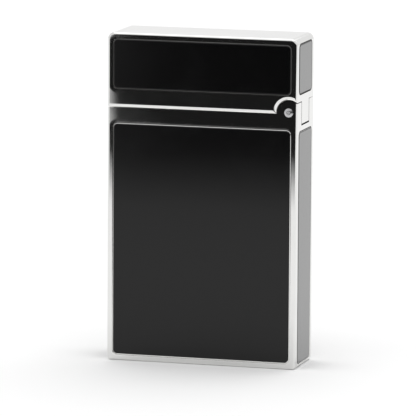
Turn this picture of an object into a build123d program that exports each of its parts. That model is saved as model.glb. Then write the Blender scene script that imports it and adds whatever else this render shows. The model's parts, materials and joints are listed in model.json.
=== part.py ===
"""Slim flip-top pocket gas lighter with a side hinge, a thumb roller and inlaid lacquer panels.

Frame: +Z up, X across the width with the hinge at +X, Y through the thickness with the front at -Y.
The origin is the centre of the base. All sizes are millimetres.
"""
import os
from math import cos, pi, radians, sin, sqrt

from build123d import *

# ---- Overall block -------------------------------------------------------------------------------
width = 37.2
thickness = 12.4
height = 63.0
part_line = 48.7          # height of the case rim, where the cap starts
part_gap = 0.1            # between the rim and the closed cap
edge_round = 0.42         # around the front and back outlines
top_corner = 1.3          # upper corners seen from the front
base_corner = 0.7         # lower corners seen from the front
wall = 1.2
floor = 2.0
cap_lip_round = 0.9       # radius of the cap's soft lower lip
cap_lip_rise = 0.58       # height of that lip, less than its radius, so it ends in an edge

# ---- Lacquer panels ------------------------------------------------------------------------------
panel_depth = 0.45
panel_proud = 0.05
panel_gap = 0.05          # between a panel and its recess
panel_corner = 0.8
panel_edge = 0.14
frame_wide = 1.25         # metal border beside the front and back panels
frame_side = 1.65         # metal border beside the side panels
frame_end = 1.3           # metal border at the base and at the top
case_shoulder = 3.1       # metal between the rim and the case panels
cap_shoulder = 3.6        # metal between the cap's lip and its panels
side_drop = 0.5           # the case's side panels sit this much lower than its front and back ones
bead_flat = 0.04          # flat top of the narrow bead round each panel
bead_flank = 0.14         # the bead's sloped outer flank
groove_floor = 0.06       # floor of the fine groove round the bead
groove_depth = 0.1

# ---- Cap hinge -----------------------------------------------------------------------------------
hinge_inset = 1.6         # pin axis to the side face
hinge_rise = 0.35         # pin axis above the rim
pin_radius = 0.85
pin_dome = 0.16           # how far each riveted pin end stands out
pin_dimple = 0.42         # radius of the ball that dimples each pin end
pin_dimple_lift = 0.1     # centre of that ball beyond the dome
ear_radius = 2.3
ear_gap = 0.15            # cap's round cut to the ear
tongue_width = 5.2
tongue_gap = 0.2          # each side of the tongue
tongue_drop = 2.45        # tongue's end below the pin axis
tongue_swing = 0.27       # free space round the tongue's corner
tongue_web = 1.7
tongue_top_gap = 0.1      # from the tongue's root to the groove round the panel above it
block_mouth = 0.5         # how far the tongue's free space opens past the hinge block's inner face
cam_radius = 2.05         # cam at its low end, on the follower's side
cap_travel = 95.0         # degrees
cam_steps = 6
hinge_block_depth = 4.9   # below the rim
running_gap = 0.03        # pins and axles to the holes that turn on them
press_gap = 0.005         # pins and axles to the holes that grip them
seat_gap = 0.02           # tubes, valves and screws to the holes that they seat in

# ---- Snuffer in the cap ----------------------------------------------------------------------------
pad_gap = 0.05            # pad to the closed jet
pad_radius = 1.8
pad_thick = 1.0
post_radius = 1.9
post_flange_radius = 2.3
post_flange = 0.8

# ---- Top plate and what stands on it ---------------------------------------------------------------
plate_top = 48.2
plate_thick = 1.6
plate_gap = 0.15          # plate to the case walls
plate_swing_gap = 0.1     # plate to the space that the tongue swings in
screw_radius = 0.7
screw_head_radius = 1.2
screw_head_gap = 0.08
screw_head_depth = 0.5    # counterbore for each head
screw_head_proud = 0.1
screw_hole_gap = 0.05
screw_slot_width = 0.36
screw_inset = 1.7         # screw centre to the case wall
screw_hood_gap = 0.15     # screw head to the hood
screw_grip = 0.6          # how far each screw reaches into the tank cover
screw_boss_radius = 1.5

# ---- Thumb roller ----------------------------------------------------------------------------------
roller_wall_gap = 0.25    # roller to the case wall
roller_rise = 3.1         # roller axis above the plate
drum_radius = 2.95
drum_flutes = 44
drum_flute_depth = 0.16
drum_length = 2.4
drum_gap = 0.1            # each drum to the striker wheel
wheel_radius = 2.75
wheel_inset = 0.05        # the wheel is this much narrower than the flint on each side
wheel_teeth = 52
wheel_tooth_depth = 0.14
wheel_tooth_lean = 0.7
axle_radius = 0.65
cheek_thick = 0.8
cheek_radius = 1.7
roller_side_gap = 0.12    # roller to the cheeks

# ---- Burner ----------------------------------------------------------------------------------------
jet_x = -1.2
hood_wall = 0.4
hood_length = 12.6
hood_depth = 7.6
hood_rise = 8.0
hood_corner = 1.4
hood_mouth = 2.0          # half the width of the opening on the roller's side
hood_sill = 1.2           # below that opening
hood_slots = 5
hood_slot_pitch = 1.9
hood_slot_radius = 0.35
hood_slot_sill = 3.4      # plate to the slots' lower centres
hood_slot_top = 1.3       # slots' upper centres to the hood's rim
jet_radius = 0.8
jet_bore = 0.25
jet_top_rise = 6.6        # jet's tip above the plate
jet_tip = 1.2             # length of the tapered tip
jet_tip_taper = 0.6       # tip's radius over the jet's
jet_collar = 1.7
jet_collar_thick = 0.7
jet_collar_gap = 0.05     # lever to collar
jet_guide = 0.5           # how far the lower collar stands out
jet_guide_rise = 0.2      # lower collar above the bottom of the spring chamber
jet_guide_thick = 0.5
jet_bore_base = 1.5       # solid length under the jet's bore
jet_port_rise = 1.6       # cross port above the jet's lower end
jet_port = 0.2
jet_seal_inset = 0.05
jet_seal_thick = 0.9

# ---- Valve and flame adjuster ----------------------------------------------------------------------
valve_radius = 2.4
valve_hole_gap = 0.03
valve_bore_gap = 0.05     # valve's bore to the jet
valve_depth = 5.0         # below the top of the tank cover
valve_lip = 0.1           # valve's shoulder above the plate
valve_neck = 1.6          # radius of the neck that the adjuster turns on
valve_neck_rise = 0.25    # neck above the adjuster
valve_inlet = 0.4
valve_base = 0.7          # thickness under the bore
spring_room = 0.65        # spring chamber's wall outside the jet
spring_room_rise = 3.4    # spring chamber above the valve's bottom
jet_stem_rise = 1.7       # jet's lower end above the valve's bottom
ring_groove = 0.3         # half the height of each seal's groove
ring_groove_depth = 0.35
ring_slack = 0.02         # seal in its groove
ring_bore_slack = 0.01
filter_radius = 1.5
filter_thick = 0.9
adjuster_radius = 2.5
adjuster_thick = 0.9
adjuster_teeth = 26
adjuster_tooth_depth = 0.22
adjuster_rise = 0.15      # above the plate
adjuster_gap = 0.05       # adjuster to the valve's neck

# ---- Lever -----------------------------------------------------------------------------------------
lever_thick = 0.6
lever_rise = 1.75         # underside of the lever above the plate
lever_half = 1.6          # half its width
lever_reach = 1.9         # fork's tips beyond the jet
lever_boss = 0.8
lever_fork_gap = 0.12     # fork to the jet
lever_pin_radius = 0.5
lever_pin_inset = 1.6     # pin to the hood's end
lever_pin_half = 2.6
lever_spring_inset = 1.3  # lever spring to the lever pin
lever_spring_gap = 0.06
lug_inner = 1.75
lug_thick = 0.7
lug_radius = 0.95

# ---- Springs: mean radius, wire and turns ----------------------------------------------------------
jet_spring_size = (jet_radius + 0.3, 0.22, 4)
lever_spring_size = (0.55, 0.22, 3)
cap_spring_size = (0.6, 0.2, 5)
flint_spring_size = (0.95, 0.34, 18)
filler_spring_size = (0.95, 0.2, 4)
spring_gap = 0.03         # each spring's end to what it presses on
jet_spring_gap = 0.05

# ---- Cap spring housing ----------------------------------------------------------------------------
follower_radius = 0.85
follower_chamfer = 0.15
housing_length = 6.4
housing_width = 3.6
housing_wall = 0.55
housing_end = 0.6
housing_corner = 0.5
housing_gap = 0.1         # housing to the plate's end
follower_gap = 0.05       # follower to the cam
follower_spring_slack = 0.45   # free space the follower backs into
follower_spring_seat = 2.6     # follower's back to the bottom of its bore

# ---- Flint feed ------------------------------------------------------------------------------------
flint_radius = 1.2
flint_length = 5.0
flint_gap = 0.06          # flint to wheel
tube_gap = 0.1            # tube's bore to the flint
tube_wall = 0.5
tube_seat = 0.4           # how far the tube sinks into the case floor
pusher_head = 1.4
pusher_stem_radius = 0.55
pusher_stem = 4.4
flint_screw_head = 2.6
flint_screw_depth = 1.1
flint_screw_rise = 6.0    # screw's shank above the case floor
flint_screw_gap = 0.05    # shank to the tube's bore

# ---- Fuel tank and filler --------------------------------------------------------------------------
tank_left = -11.4
tank_wall = 0.6
tank_gap = 0.2            # tank to the case walls
tank_top = 42.4
tank_lift = 0.02          # tank to the case floor
cover_thick = 1.2
cover_block_gap = 0.1     # cover to the hinge block
filler_x = 4.5
filler_radius = 2.2
filler_bore = 0.9
filler_height = 6.2
filler_throat = 1.4       # depth of the nozzle's bore
filler_room = 0.5         # spring chamber's wall outside the bore
filler_room_rise = 2.0
filler_room_roof = 0.5
filler_outlet = 0.5
filler_groove_rise = 1.5
poppet_flange = 0.4       # how far the poppet stands out over the bore
poppet_flange_thick = 0.77
poppet_stem_radius = 0.35
poppet_stem_low = 0.3     # stem's lower end above the valve's
poppet_stem_high = 3.8
filler_valve_gap = 0.05   # filler valve to its screw
filler_screw_head = 4.0
filler_screw_depth = 1.1
screw_slot = 0.8          # slot in the flint screw
filler_slot = 1.2         # slot in the filler screw
screw_slot_depth = 0.55
head_gap = 0.08           # round each base screw head
head_step = 0.03          # base screw heads to the bottom of their counterbores
base_inset = 0.06         # base screw heads sit this far inside the base

past = 1.0                # cutters run this far beyond what they cut
hair = 0.02               # and this far where they taper

# ---- Worked-out places -----------------------------------------------------------------------------
half_w, half_t = width / 2, thickness / 2
pin_x, pin_z = half_w - hinge_inset, part_line + hinge_rise
cam_rise = tongue_drop - cam_radius
ear_inner = tongue_width / 2 + tongue_gap
tongue_corner = sqrt(hinge_inset ** 2 + tongue_drop ** 2)
swing_radius = tongue_corner + tongue_swing
cap_bottom = part_line + part_gap
inner_x, inner_y = half_w - wall, half_t - wall
cap_roof = height - wall
groove_reach = bead_flat + bead_flank + groove_floor
roller_x = -inner_x + drum_radius + roller_wall_gap
roller_z = plate_top + roller_rise
wheel_length = 2 * (flint_radius - wheel_inset)
drum_start = wheel_length / 2 + drum_gap
drum_end = drum_start + drum_length
tube_bore = flint_radius + tube_gap
tube_radius = tube_bore + tube_wall
plate_bottom = plate_top - plate_thick
block_left = pin_x - swing_radius + block_mouth
plate_right = pin_x - swing_radius - plate_swing_gap
block_bottom = part_line - hinge_block_depth
cover_top = tank_top + cover_thick
jet_top = plate_top + jet_top_rise
collar_z = plate_top + lever_rise + lever_thick + jet_collar_gap


def block(x0, x1, y0, y1, z0, z1):
    """A box between two corners."""
    return Pos((x0 + x1) / 2, (y0 + y1) / 2, (z0 + z1) / 2) * Box(x1 - x0, y1 - y0, z1 - z0)


def rod_x(y, z, r, x0, x1):
    """A cylinder along X."""
    return Pos((x0 + x1) / 2, y, z) * Rot(0, 90, 0) * Cylinder(r, x1 - x0)


def rod_y(x, z, r, y0, y1):
    """A cylinder along Y."""
    return Pos(x, (y0 + y1) / 2, z) * Rot(90, 0, 0) * Cylinder(r, y1 - y0)


def rod_z(x, y, r, z0, z1):
    """A cylinder along Z."""
    return Pos(x, y, (z0 + z1) / 2) * Cylinder(r, z1 - z0)


def ring_z(x, inner, outer, z0, z1):
    """A flat ring round a vertical axis on the middle plane."""
    return rod_z(x, 0, outer, z0, z1) - rod_z(x, 0, inner, z0 - past, z1 + past)


def toothed_disc(radius, depth, teeth, lean=0.0):
    """A flat disc outline with triangular teeth, which lean as on a file-cut wheel."""
    points = []
    for i in range(teeth):
        tip = 2 * pi * i / teeth
        root = tip + pi / teeth * (1 + lean)
        points.append((radius * cos(tip), radius * sin(tip)))
        points.append(((radius - depth) * cos(root), (radius - depth) * sin(root)))
    return Polygon(*points, align=None)


def coil(size, z0, z1, x=0.0):
    """An open coil spring along Z, between two heights."""
    radius, wire, turns = size
    run = z1 - z0 - wire
    path = Helix(pitch=run / turns, height=run, radius=radius)
    section = Plane(origin=path @ 0, z_dir=path % 0) * Circle(wire / 2)
    return Pos(x, 0, z0 + wire / 2) * sweep(section, path, is_frenet=True)


def envelope():
    """The closed lighter's outer block, before it is split at the parting line."""
    outline = Plane.XZ * Pos(0, height / 2) * Rectangle(width, height)
    corners = outline.vertices().sort_by(Axis.Z)
    outline = fillet(corners[:2], base_corner)
    outline = fillet(outline.vertices().sort_by(Axis.Z)[-2:], top_corner)
    solid = extrude(outline, amount=half_t, both=True)
    return fillet(solid.faces().filter_by(Axis.Y).edges(), edge_round)


# ---- Lacquer panels --------------------------------------------------------------------------------
# side: (outward direction, distance of the face from the centre, panel width)
sides = {
    "front": ((0, -1, 0), half_t, width - 2 * frame_wide),
    "back": ((0, 1, 0), half_t, width - 2 * frame_wide),
    "left": ((-1, 0, 0), half_w, thickness - 2 * frame_side),
    "right": ((1, 0, 0), half_w, thickness - 2 * frame_side),
}


def panel_span(part, side):
    """Lowest and highest point of a panel's recess."""
    if part == "cap":
        return cap_bottom + cap_shoulder, height - frame_end
    drop = side_drop if side in ("left", "right") else 0
    return frame_end - drop, part_line - case_shoulder - drop


def panel_outline(side, span, depth, margin):
    """A panel's recess outline, grown by a margin, that far inside the face and facing out."""
    normal, distance, across = sides[side]
    out = Vector(*normal)
    origin = out * (distance - depth) + Vector(0, 0, (span[0] + span[1]) / 2)
    plane = Plane(origin=origin, x_dir=Vector(0, 0, 1).cross(out), z_dir=out)
    return plane * RectangleRounded(
        across + 2 * margin, span[1] - span[0] + 2 * margin, panel_corner + margin)


def panel(side, span):
    """One lacquer panel, seated on the bottom of its recess."""
    solid = extrude(panel_outline(side, span, panel_depth, -panel_gap), amount=panel_depth + panel_proud)
    outer = solid.faces().sort_by(Axis((0, 0, 0), sides[side][0]))[-1]
    return fillet(outer.edges(), panel_edge)


def recess(side, span):
    """The cut that a panel sits in, and the fine groove that leaves a narrow bead round it."""
    seat = extrude(panel_outline(side, span, panel_depth, 0), amount=panel_depth + past)
    groove = extrude(panel_outline(side, span, groove_depth, groove_reach), amount=groove_depth + hair)
    bead_foot = panel_outline(side, span, groove_depth, bead_flat + bead_flank)
    bead_top = panel_outline(side, span, -hair, bead_flat - bead_flank * hair / groove_depth)
    return seat + (groove - loft([bead_foot, bead_top]))


# ---- Case ------------------------------------------------------------------------------------------
def lip_cutters(z, r, rise):
    """Waste along the front, back and left edges of a piece that starts at height z, leaving a rounded lip."""
    tools = []
    for s in (-1, 1):
        y0, y1 = sorted((s * half_t, s * (half_t - r)))
        square = block(-half_w - past, half_w + past, y0, y1, z, z + rise)
        tools.append(square - rod_x(s * (half_t - r), z + rise, r, -half_w - 2 * past, half_w + 2 * past))
    square = block(-half_w, -half_w + r, -half_t - past, half_t + past, z, z + rise)
    tools.append(square - rod_y(-half_w + r, z + rise, r, -half_t - 2 * past, half_t + 2 * past))
    return tools


def arc_cutters(inner, r, rise):
    """Waste round the hinge cut on the front and back, leaving the same rounded lip."""
    tools = []
    for s in (-1, 1):
        y0, y1 = sorted((s * half_t, s * (half_t - r)))
        ring = rod_y(pin_x, pin_z, inner + rise, y0, y1)
        tools.append(ring - Pos(pin_x, s * (half_t - r), pin_z) * Rot(90, 0, 0) * Torus(inner + rise, r)
                     - rod_y(pin_x, pin_z, inner - rise / 2, -half_t - past, half_t + past))
    return tools


def body_case(block_outer):
    """Case shell with the hinge ears, the hinge block and the base."""
    case = block_outer & block(-half_w, half_w, -half_t, half_t, 0, part_line)
    for s in (-1, 1):
        y0, y1 = sorted((s * ear_inner, s * half_t))
        case += rod_y(pin_x, pin_z, ear_radius, y0, y1) & block_outer
    cavity = block(-inner_x, inner_x, -inner_y, inner_y, floor, block_bottom)
    cavity += block(-inner_x, block_left, -inner_y, inner_y, block_bottom - past, part_line + past)
    case -= cavity
    case -= rod_y(pin_x, pin_z, swing_radius, -ear_inner, ear_inner)
    case -= rod_y(pin_x, pin_z, pin_radius, -half_t - past, half_t + past)
    for side in sides:
        case -= recess(side, panel_span("body", side))
    for x, head, depth, neck in ((roller_x, flint_screw_head, flint_screw_depth, tube_radius),
                                 (filler_x, filler_screw_head, filler_screw_depth, filler_radius)):
        case -= rod_z(x, 0, head + head_gap, -past, depth + base_inset)
        case -= rod_z(x, 0, neck + seat_gap, -past, floor + past)
    return case


def hinge_pin():
    """Riveted pin through both ears, domed and dimpled at each end."""
    radius = pin_radius - press_gap
    ball = (pin_radius ** 2 + pin_dome ** 2) / (2 * pin_dome)
    end = half_t + pin_dome
    pin = rod_y(pin_x, pin_z, radius, -half_t, half_t)
    for s in (-1, 1):
        y0, y1 = sorted((0, s * end))
        pin += Pos(pin_x, s * (end - ball), pin_z) * Sphere(ball) & rod_y(pin_x, pin_z, radius, y0, y1)
        pin -= Pos(pin_x, s * (end + pin_dimple_lift), pin_z) * Sphere(pin_dimple)
    return pin


# ---- Cap -------------------------------------------------------------------------------------------
def cam_point(turn):
    """A point on the tongue's cam, that many degrees round from the follower's side."""
    r = cam_radius + cam_rise * turn / cap_travel
    a = radians(180 + turn)
    return (pin_x + r * cos(a), pin_z + r * sin(a))


def tongue():
    """The cap's middle hinge knuckle: cam on the inside, flat on the outside."""
    start, end = cam_point(0), cam_point(cap_travel)
    root = cap_bottom + cap_shoulder - groove_reach - tongue_top_gap
    cam = Spline(*[cam_point(cap_travel * i / cam_steps) for i in range(cam_steps + 1)])
    back = [end, (end[0], pin_z - tongue_drop), (half_w, pin_z - tongue_drop),
            (half_w, root), (half_w - tongue_web, root)]
    crown = (half_w - tongue_web, pin_z + sqrt(cam_radius ** 2 - (tongue_web - hinge_inset) ** 2))
    middle = (pin_x - cam_radius * cos(pi / 4), pin_z + cam_radius * sin(pi / 4))
    outline = make_face(cam + Polyline(*back, crown) + ThreePointArc(crown, middle, start))
    solid = extrude(Plane.XZ * outline, amount=tongue_width / 2, both=True)
    return solid - rod_y(pin_x, pin_z, pin_radius + running_gap, -half_t, half_t)


def cap_shell(block_outer):
    """Cap with its thin walls, the round cuts over the ears and the hinge tongue."""
    cap = block_outer & block(-half_w, half_w, -half_t, half_t, cap_bottom, height)
    hinge_cut = ear_radius + ear_gap
    cap -= block(-inner_x, inner_x, -inner_y, inner_y, cap_bottom - past, cap_roof)
    cap -= rod_y(pin_x, pin_z, hinge_cut, -half_t - past, half_t + past)
    edge = pin_x - sqrt(hinge_cut ** 2 - (cap_bottom - pin_z) ** 2)
    beside = block(-half_w - past, edge + cap_lip_rise / 2, -half_t - past, half_t + past, 0, height)
    for tool in lip_cutters(cap_bottom, cap_lip_round, cap_lip_rise):
        cap -= tool & beside
    for tool in arc_cutters(hinge_cut, cap_lip_round, cap_lip_rise):
        cap -= tool
    for side in sides:
        cap -= recess(side, panel_span("cap", side))
    return cap + tongue()


def snuffer():
    """Post under the cap's roof and the soft pad that presses the jet shut."""
    pad_low = jet_top + pad_gap
    pad_top = pad_low + pad_thick
    post = rod_z(jet_x, 0, post_radius, pad_top + post_flange, cap_roof)
    post += rod_z(jet_x, 0, post_flange_radius, pad_top, pad_top + post_flange)
    return post, rod_z(jet_x, 0, pad_radius, pad_low, pad_top)


# ---- Top plate -------------------------------------------------------------------------------------
def plate_screw_places():
    """Centres of the top plate's two screws."""
    reach = hood_length / 2 + screw_head_radius + screw_hood_gap
    return [(jet_x - reach, inner_y - screw_inset), (jet_x + reach, -inner_y + screw_inset)]


def lever_pivot():
    """The lever pin's axis, as (x, z)."""
    return jet_x + hood_length / 2 - lever_pin_inset, plate_top + lever_rise + lever_thick / 2


def chassis_plate():
    """Top plate with the roller cheeks and the lever lugs."""
    edge_y = inner_y - plate_gap
    plate = block(-inner_x + plate_gap, plate_right, -edge_y, edge_y, plate_bottom, plate_top)
    lx, lz = lever_pivot()
    # each pair stands on both sides of the middle plane: x, z, radius, inner face, thickness
    cheeks = (roller_x, roller_z, cheek_radius, drum_end + roller_side_gap, cheek_thick)
    for x, z, r, inner, thick in (cheeks, (lx, lz, lug_radius, lug_inner, lug_thick)):
        for s in (-1, 1):
            y0, y1 = sorted((s * inner, s * (inner + thick)))
            plate += block(x - r, x + r, y0, y1, plate_bottom, z) + rod_y(x, z, r, y0, y1)
    plate -= rod_y(roller_x, roller_z, axle_radius + running_gap, -half_t, half_t)
    plate -= rod_y(lx, lz, lever_pin_radius, -half_t, half_t)
    plate -= rod_z(roller_x, 0, tube_radius + seat_gap, 0, height)
    plate -= rod_z(jet_x, 0, valve_radius + valve_hole_gap, 0, height)
    for x, y in plate_screw_places():
        plate -= rod_z(x, y, screw_radius + screw_hole_gap, 0, height)
        plate -= rod_z(x, y, screw_head_radius + screw_head_gap, plate_top - screw_head_depth, height)
    return plate


def chassis_screws():
    """Two slotted screws that hold the top plate to the tank cover."""
    group = []
    head_low, head_top = plate_top - screw_head_depth, plate_top + screw_head_proud
    slot_low = (head_low + head_top) / 2
    for x, y in plate_screw_places():
        screw = rod_z(x, y, screw_radius, cover_top - screw_grip, slot_low)
        screw += rod_z(x, y, screw_head_radius, head_low, head_top)
        screw -= block(x - 2 * screw_head_radius, x + 2 * screw_head_radius, y - screw_slot_width / 2,
                       y + screw_slot_width / 2, slot_low, head_top + past)
        group.append(screw)
    return Compound(children=group)


def burner_hood():
    """Rectangular wind hood round the jet, open on top and on the roller's side."""
    x0 = jet_x - hood_length / 2
    base = Pos(jet_x, 0, plate_top)
    outer = RectangleRounded(hood_length, hood_depth, hood_corner)
    inner = RectangleRounded(hood_length - 2 * hood_wall, hood_depth - 2 * hood_wall, hood_corner - hood_wall)
    hood = base * extrude(outer - inner, amount=hood_rise)
    hood -= block(x0 - past, x0 + hood_corner / 2, -hood_mouth, hood_mouth, plate_top + hood_sill, height)
    low, high = plate_top + hood_slot_sill, plate_top + hood_rise - hood_slot_top
    for i in range(hood_slots):
        x = jet_x + (i - (hood_slots - 1) / 2) * hood_slot_pitch
        hood -= block(x - hood_slot_radius, x + hood_slot_radius, -half_t, half_t, low, high)
        for z in (low, high):
            hood -= rod_y(x, z, hood_slot_radius, -half_t, half_t)
    return hood


def roller_parts():
    """Axle, two fluted thumb drums and the toothed striker wheel between them."""
    reach = drum_end + roller_side_gap + cheek_thick
    axle = rod_y(roller_x, roller_z, axle_radius, -reach, reach)
    place = Pos(roller_x, 0, roller_z) * Rot(90, 0, 0)
    hole = Circle(axle_radius + press_gap)
    drum = toothed_disc(drum_radius, drum_flute_depth, drum_flutes) - hole
    wheel = toothed_disc(wheel_radius, wheel_tooth_depth, wheel_teeth, wheel_tooth_lean) - hole
    front = place * Pos(0, 0, drum_start) * extrude(drum, amount=drum_length)
    rear = place * Pos(0, 0, -drum_end) * extrude(drum, amount=drum_length)
    striker = place * extrude(wheel, amount=wheel_length / 2, both=True)
    return axle, front, rear, striker


# ---- Valve and lever -------------------------------------------------------------------------------
def ring_seal(x, radius, z):
    """The groove for a seal ring round a vertical valve body, and the ring in it."""
    groove = ring_z(x, radius - ring_groove_depth, radius + past, z - ring_groove, z + ring_groove)
    half = ring_groove - ring_slack
    seal = ring_z(x, radius - ring_groove_depth + ring_bore_slack, radius, z - half, z + half)
    return groove, seal


def valve_parts():
    """Valve body, its seal and filter, the jet with its seat seal, the closing spring and the adjuster."""
    bottom = cover_top - valve_depth
    stem_low = bottom + jet_stem_rise
    room_low = bottom + spring_room_rise
    groove, seal = ring_seal(jet_x, valve_radius, tank_top + cover_thick / 2)
    neck_top = plate_top + adjuster_thick + valve_neck_rise
    body = rod_z(jet_x, 0, valve_radius, bottom, plate_top + valve_lip)
    body += rod_z(jet_x, 0, valve_neck, plate_top, neck_top)
    body -= rod_z(jet_x, 0, jet_radius + valve_bore_gap, bottom + valve_base, height)
    body -= rod_z(jet_x, 0, jet_radius + spring_room, room_low, plate_bottom)
    body -= rod_z(jet_x, 0, valve_inlet, bottom - past, height)
    body -= groove
    filter_disc = rod_z(jet_x, 0, filter_radius, bottom - filter_thick, bottom)
    guide_low = room_low + jet_guide_rise
    guide_high = guide_low + jet_guide_thick
    jet = rod_z(jet_x, 0, jet_radius, stem_low, jet_top - jet_tip)
    jet += Pos(jet_x, 0, jet_top - jet_tip / 2) * Cone(jet_radius, jet_radius * jet_tip_taper, jet_tip)
    jet += rod_z(jet_x, 0, jet_collar, collar_z, collar_z + jet_collar_thick)
    jet += rod_z(jet_x, 0, jet_radius + jet_guide, guide_low, guide_high)
    jet -= rod_z(jet_x, 0, jet_bore, stem_low + jet_bore_base, height)
    jet -= rod_y(jet_x, stem_low + jet_port_rise, jet_port, -valve_radius, valve_radius)
    seat_seal = rod_z(jet_x, 0, jet_radius - jet_seal_inset, stem_low - jet_seal_thick, stem_low)
    spring = coil(jet_spring_size, guide_high + jet_spring_gap, plate_bottom - jet_spring_gap, jet_x)
    ring = toothed_disc(adjuster_radius, adjuster_tooth_depth, adjuster_teeth) - Circle(valve_neck + adjuster_gap)
    adjuster = Pos(jet_x, 0, plate_top + adjuster_rise) * extrude(ring, amount=adjuster_thick)
    return body, seal, filter_disc, jet, seat_seal, spring, adjuster


def lever_parts():
    """Forked lever under the jet's collar, its pin and the spring that lifts it."""
    lx, lz = lever_pivot()
    low = plate_top + lever_rise
    slot = jet_radius + lever_fork_gap
    lever = block(jet_x - lever_reach, lx, -lever_half, lever_half, low, low + lever_thick)
    lever += rod_y(lx, lz, lever_boss, -lever_half, lever_half)
    lever -= block(jet_x - 2 * lever_reach, jet_x, -slot, slot, 0, height) + rod_z(jet_x, 0, slot, 0, height)
    lever -= rod_y(lx, lz, lever_pin_radius + running_gap, -half_t, half_t)
    pin = rod_y(lx, lz, lever_pin_radius - press_gap, -lever_pin_half, lever_pin_half)
    spring = coil(lever_spring_size, plate_top + spring_gap, low - lever_spring_gap, lx - lever_spring_inset)
    return lever, pin, spring


# ---- Cap spring ------------------------------------------------------------------------------------
def cap_spring_parts():
    """Housing on the top plate, the sliding cam follower in it and the spring behind the follower."""
    x1 = plate_right - housing_gap
    x0 = x1 - housing_length
    bore_end = x0 + housing_end
    top = pin_z + follower_radius + housing_wall
    housing = block(x0, x1, -housing_width / 2, housing_width / 2, plate_top, top)
    housing = fillet(housing.edges().filter_by(Axis.Z), housing_corner)
    housing -= rod_x(0, pin_z, follower_radius + running_gap, bore_end, x1 + past)
    tip = pin_x - cam_radius - follower_gap
    back = bore_end + follower_spring_seat
    follower = rod_x(0, pin_z, follower_radius, back, tip)
    follower = chamfer(follower.edges().sort_by(Axis.X)[-1], follower_chamfer)
    run = follower_spring_seat - follower_spring_slack - seat_gap
    spring = Pos(bore_end + seat_gap, 0, pin_z) * Rot(0, 90, 0) * coil(cap_spring_size, 0, run)
    return housing, follower, spring


# ---- Flint feed ------------------------------------------------------------------------------------
def flint_parts():
    """Tube, flint, pusher, feed spring and the slotted screw in the base."""
    flint_top = roller_z - wheel_radius - flint_gap
    pusher_top = flint_top - flint_length
    shank_top = floor + flint_screw_rise
    tube = ring_z(roller_x, tube_bore, tube_radius, floor - tube_seat, plate_top)
    flint = rod_z(roller_x, 0, flint_radius, pusher_top, flint_top)
    pusher = rod_z(roller_x, 0, flint_radius, pusher_top - pusher_head, pusher_top)
    pusher += rod_z(roller_x, 0, pusher_stem_radius, pusher_top - pusher_stem, pusher_top)
    spring = coil(flint_spring_size, shank_top + spring_gap, pusher_top - pusher_head - spring_gap, roller_x)
    head_top = flint_screw_depth + base_inset - head_step
    screw = rod_z(roller_x, 0, flint_screw_head, base_inset, head_top)
    screw += rod_z(roller_x, 0, tube_bore - flint_screw_gap, (base_inset + head_top) / 2, shank_top)
    screw -= block(roller_x - 2 * flint_screw_head, roller_x + 2 * flint_screw_head, -screw_slot / 2,
                   screw_slot / 2, -past, base_inset + screw_slot_depth)
    return tube, flint, pusher, spring, screw


# ---- Tank ------------------------------------------------------------------------------------------
def tank_shell():
    """Thin-walled fuel tank and its brazed cover, which carries the top plate's screw bosses."""
    x1, y1 = inner_x - tank_gap, inner_y - tank_gap
    low = floor + tank_lift
    tank = block(tank_left, x1, -y1, y1, low, tank_top)
    tank -= block(tank_left + tank_wall, x1 - tank_wall, -y1 + tank_wall, y1 - tank_wall,
                  low + tank_wall, tank_top + past)
    tank -= rod_z(filler_x, 0, filler_radius + seat_gap, 0, low + 2 * tank_wall)
    cover = block(tank_left, x1, -y1, y1, tank_top, cover_top)
    cover -= block(block_left - plate_gap, half_w, -half_t, half_t, block_bottom - cover_block_gap, height)
    cover -= rod_z(jet_x, 0, valve_radius + seat_gap, 0, height)
    for x, y in plate_screw_places():
        cover += rod_z(x, y, screw_boss_radius, tank_top + cover_thick / 2, plate_bottom)
        cover -= rod_z(x, y, screw_radius + seat_gap, cover_top - screw_grip - screw_hole_gap, height)
    return tank, cover


def filler_parts():
    """Filler valve in the tank's floor, its seal, poppet and spring, and the slotted screw over it."""
    low = filler_screw_depth + base_inset + filler_valve_gap
    high = low + filler_height
    groove, seal = ring_seal(filler_x, filler_radius, low + filler_groove_rise)
    room_low = low + filler_room_rise
    valve = rod_z(filler_x, 0, filler_radius, low, high)
    valve -= rod_z(filler_x, 0, filler_bore, 0, low + filler_throat)
    valve -= rod_z(filler_x, 0, filler_bore + filler_room, room_low, high - filler_room_roof)
    valve -= rod_z(filler_x, 0, filler_outlet, 0, height)
    valve -= groove
    flange_low = room_low + spring_gap
    flange_top = flange_low + poppet_flange_thick
    poppet = rod_z(filler_x, 0, filler_bore + poppet_flange, flange_low, flange_top)
    poppet += rod_z(filler_x, 0, poppet_stem_radius, low + poppet_stem_low, low + poppet_stem_high)
    spring = coil(filler_spring_size, flange_top + spring_gap, high - filler_room_roof - spring_gap, filler_x)
    screw = rod_z(filler_x, 0, filler_screw_head, base_inset, filler_screw_depth + base_inset - head_step)
    screw -= block(filler_x - 2 * filler_screw_head, filler_x + 2 * filler_screw_head, -filler_slot / 2,
                   filler_slot / 2, -past, base_inset + screw_slot_depth)
    return valve, seal, poppet, spring, screw


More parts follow.
